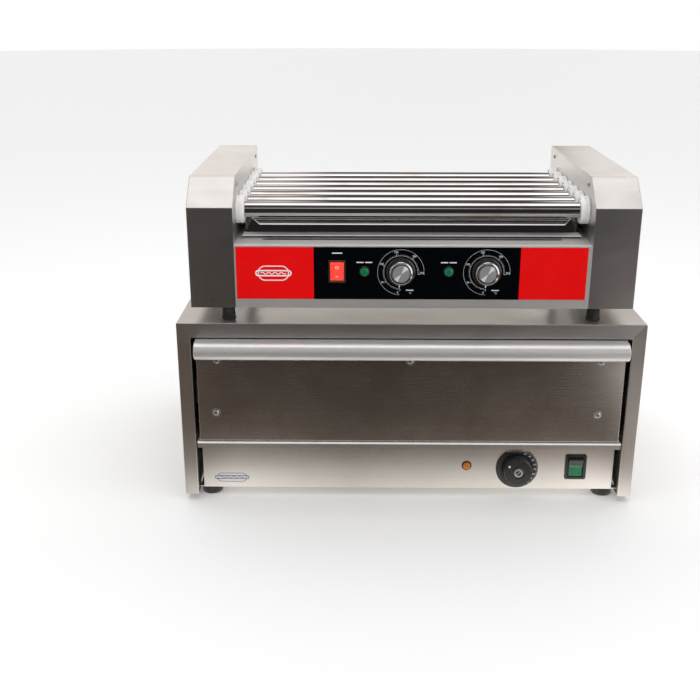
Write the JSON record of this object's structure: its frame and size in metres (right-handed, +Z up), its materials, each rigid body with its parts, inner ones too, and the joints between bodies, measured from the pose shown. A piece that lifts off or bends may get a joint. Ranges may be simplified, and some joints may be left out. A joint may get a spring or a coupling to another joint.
{
  "type": "hot dog roller grill",
  "caption": "Countertop roller grill with heated chrome rollers, drip tray and control panel, standing on a bun-warming drawer cabinet.",
  "frame": {"origin": "centre of the footprint on the surface the cabinet stands on", "axes": "+Z up, +Y to the back, +X to the right as seen from the front, rollers along X"},
  "size_m": [0.629, 0.4364, 0.4544],
  "materials": {
    "brushed_steel": "brushed stainless sheet, satin",
    "bright_steel": "polished stainless sheet",
    "roller_chrome": "mirror polished tube",
    "zinc_steel": "zinc plated",
    "ptfe": "smooth white PTFE",
    "black_rubber": "matte",
    "black_plastic": "fine moulded, slightly glossy",
    "black_film": "printed film with white scales",
    "red_film": "printed film",
    "red_lens": "lit translucent rocker",
    "green_lens": "translucent lens",
    "amber_lens": "translucent lens",
    "silver_cap": "spun aluminium",
    "motor_paint": "satin",
    "element_sheath": "heat darkened",
    "cream_plastic": "moulded"
  },
  "bodies": {
    "housing": {"left_housing_cover": "brushed_steel", "right_housing_cover": "brushed_steel", "left_inner_plate": "brushed_steel", "right_inner_plate": "brushed_steel", "control_box_cover": "brushed_steel", "grill_base": "brushed_steel", "rear_panel": "brushed_steel", "grill_legs": "black_rubber", "bearing_rings": "ptfe", "heating_elements": "element_sheath", "element_brackets": "zinc_steel", "drive_chain": "zinc_steel", "gear_motor": "motor_paint", "black_overlay": "black_film", "red_overlays": "red_film", "indicator_lamps": "green_lens", "rocker_frames": "black_plastic", "thermostats": "zinc_steel", "terminal_block": "cream_plastic", "cabinet_shell": "brushed_steel", "cabinet_back": "brushed_steel", "cabinet_floor": "brushed_steel", "cabinet_shelf": "brushed_steel", "bay_liners": "brushed_steel", "lower_panel": "brushed_steel", "cabinet_feet": "black_rubber", "warming_element": "element_sheath", "dial_plate": "black_plastic", "amber_lamp": "amber_lens", "cable_glands": "black_plastic", "fixed_rails": "zinc_steel", "fixing_screws": "zinc_steel"},
    "roller_1_turning": {"roller_1": "roller_chrome", "sprocket_1": "zinc_steel"},
    "roller_2_turning": {"roller_2": "roller_chrome", "sprocket_2": "zinc_steel"},
    "roller_3_turning": {"roller_3": "roller_chrome", "sprocket_3": "zinc_steel"},
    "roller_4_turning": {"roller_4": "roller_chrome", "sprocket_4": "zinc_steel"},
    "roller_5_turning": {"roller_5": "roller_chrome", "sprocket_5": "zinc_steel"},
    "roller_6_turning": {"roller_6": "roller_chrome", "sprocket_6": "zinc_steel"},
    "roller_7_turning": {"roller_7": "roller_chrome", "sprocket_7": "zinc_steel"},
    "motor_output": {"motor_sprocket": "zinc_steel"},
    "sliding_tray": {"drip_tray": "bright_steel"},
    "left_heat_control": {"heat_knob_left": "black_plastic", "knob_cap_left": "silver_cap"},
    "right_heat_control": {"heat_knob_right": "black_plastic", "knob_cap_right": "silver_cap"},
    "power_switch": {"power_rocker": "red_lens"},
    "warmer_switch": {"warmer_rocker": "green_lens"},
    "warmer_control": {"warmer_knob": "black_plastic"},
    "drawer": {"drawer_front": "brushed_steel", "drawer_handle": "bright_steel", "drawer_box": "brushed_steel", "drawer_screws": "zinc_steel", "moving_rails": "zinc_steel"}
  },
  "joints": [
    {"name": "roller_1_spin", "type": "hinge", "parent": "housing", "child": "roller_1_turning", "pos_m": [0, -0.14738, 0.4093], "axis": [1, 0, 0], "continuous": true},
    {"name": "roller_2_spin", "type": "hinge", "parent": "housing", "child": "roller_2_turning", "pos_m": [0, -0.10837, 0.4093], "axis": [1, 0, 0], "continuous": true},
    {"name": "roller_3_spin", "type": "hinge", "parent": "housing", "child": "roller_3_turning", "pos_m": [0, -0.06938, 0.4093], "axis": [1, 0, 0], "continuous": true},
    {"name": "roller_4_spin", "type": "hinge", "parent": "housing", "child": "roller_4_turning", "pos_m": [0, -0.03037, 0.4093], "axis": [1, 0, 0], "continuous": true},
    {"name": "roller_5_spin", "type": "hinge", "parent": "housing", "child": "roller_5_turning", "pos_m": [0, 0.00863, 0.4093], "axis": [1, 0, 0], "continuous": true},
    {"name": "roller_6_spin", "type": "hinge", "parent": "housing", "child": "roller_6_turning", "pos_m": [0, 0.04763, 0.4093], "axis": [1, 0, 0], "continuous": true},
    {"name": "roller_7_spin", "type": "hinge", "parent": "housing", "child": "roller_7_turning", "pos_m": [0, 0.08662, 0.4093], "axis": [1, 0, 0], "continuous": true},
    {"name": "motor_spin", "type": "hinge", "parent": "housing", "child": "motor_output", "pos_m": [0, -0.03037, 0.33803], "axis": [1, 0, 0], "continuous": true},
    {"name": "tray_slide", "type": "slide", "parent": "housing", "child": "sliding_tray", "axis": [0, -1, 0], "range_m": [0, 0.23]},
    {"name": "left_heat_turn", "type": "hinge", "parent": "housing", "child": "left_heat_control", "pos_m": [-0.0151, -0.19378, 0.3365], "axis": [0, 1, 0], "range_deg": [0, 270]},
    {"name": "right_heat_turn", "type": "hinge", "parent": "housing", "child": "right_heat_control", "pos_m": [0.0971, -0.19378, 0.3365], "axis": [0, 1, 0], "range_deg": [0, 270]},
    {"name": "power_rock", "type": "hinge", "parent": "housing", "child": "power_switch", "pos_m": [-0.0985, -0.19307, 0.3365], "axis": [1, 0, 0], "range_deg": [-16, 0]},
    {"name": "warmer_rock", "type": "hinge", "parent": "housing", "child": "warmer_switch", "pos_m": [0.2372, -0.17777, 0.0485], "axis": [1, 0, 0], "range_deg": [-16, 0]},
    {"name": "warmer_turn", "type": "hinge", "parent": "housing", "child": "warmer_control", "pos_m": [0.1545, -0.19378, 0.046], "axis": [0, 1, 0], "range_deg": [0, 270]},
    {"name": "drawer_slide", "type": "slide", "parent": "housing", "child": "drawer", "axis": [0, -1, 0], "range_m": [0, 0.25]}
  ],
  "couplings": [
    {"joint": "roller_2_spin", "follows": "roller_1_spin", "ratio": 1},
    {"joint": "roller_3_spin", "follows": "roller_1_spin", "ratio": 1},
    {"joint": "roller_4_spin", "follows": "roller_1_spin", "ratio": 1},
    {"joint": "roller_5_spin", "follows": "roller_1_spin", "ratio": 1},
    {"joint": "roller_6_spin", "follows": "roller_1_spin", "ratio": 1},
    {"joint": "roller_7_spin", "follows": "roller_1_spin", "ratio": 1},
    {"joint": "motor_spin", "follows": "roller_1_spin", "ratio": 1}
  ]
}
